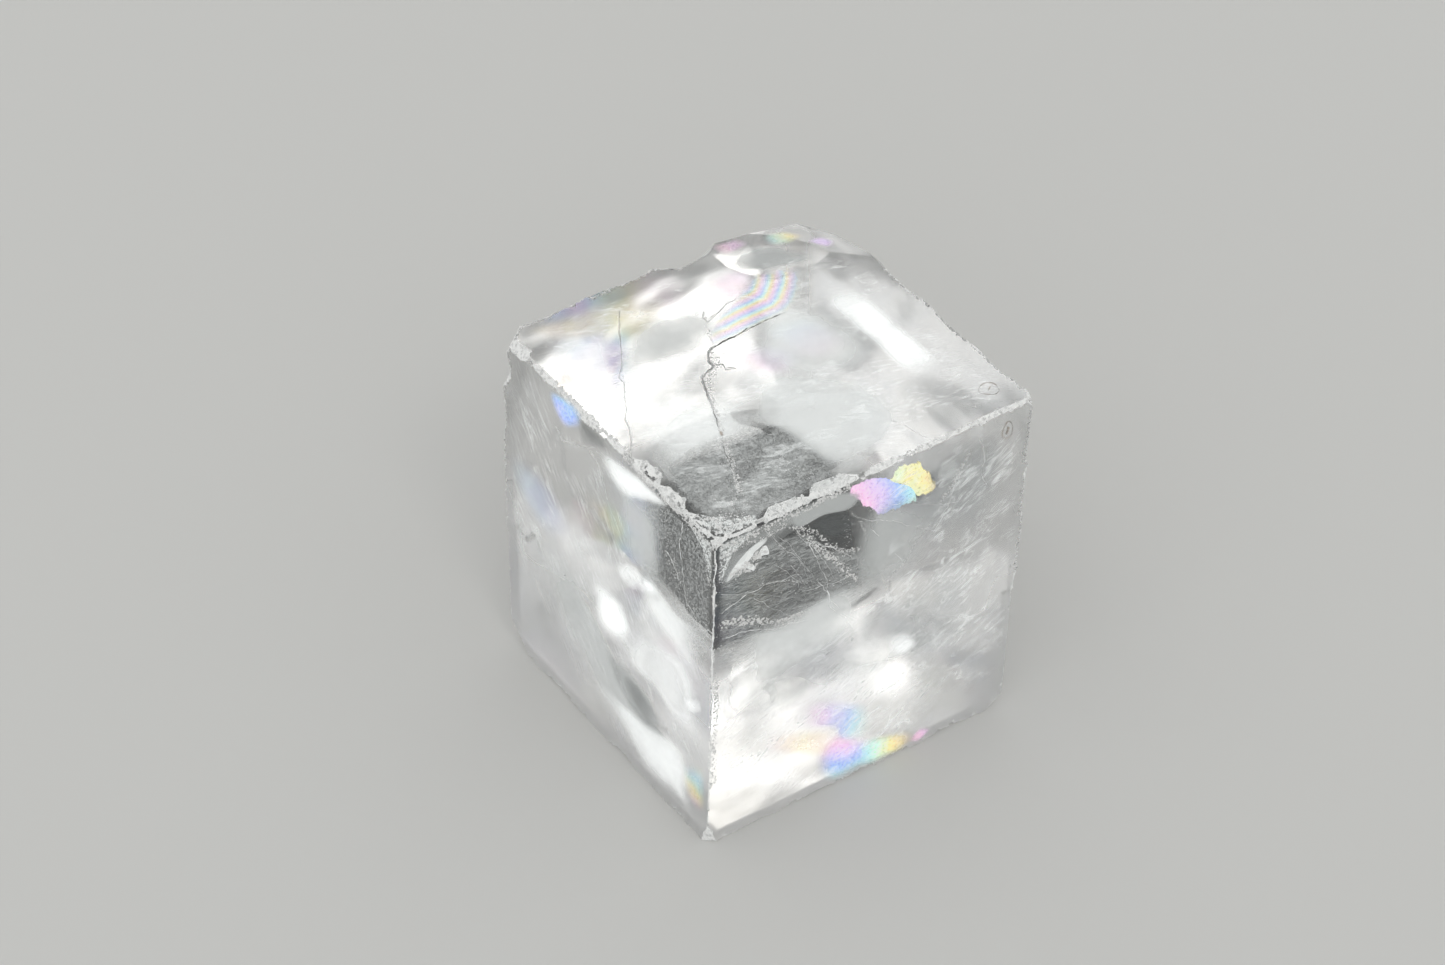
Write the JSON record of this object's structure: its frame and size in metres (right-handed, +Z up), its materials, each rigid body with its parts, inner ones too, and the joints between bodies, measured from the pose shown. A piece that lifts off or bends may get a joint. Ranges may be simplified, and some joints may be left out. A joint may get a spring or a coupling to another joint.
{
  "type": "optical calcite rhomb",
  "caption": "Clear cleavage rhomb of optical calcite with chipped edges, thin cleavage steps and a broken far corner.",
  "frame": {"origin": "centre of the resting cleavage face, on the surface that the crystal stands on", "axes": "+Z up; +X along the lower front edge; +Y towards the back face"},
  "size_m": [0.0405, 0.0353, 0.0302],
  "materials": {
    "calcite": "polished"
  },
  "bodies": {
    "root": {"calcite_crystal": "calcite"}
  },
  "joints": []
}
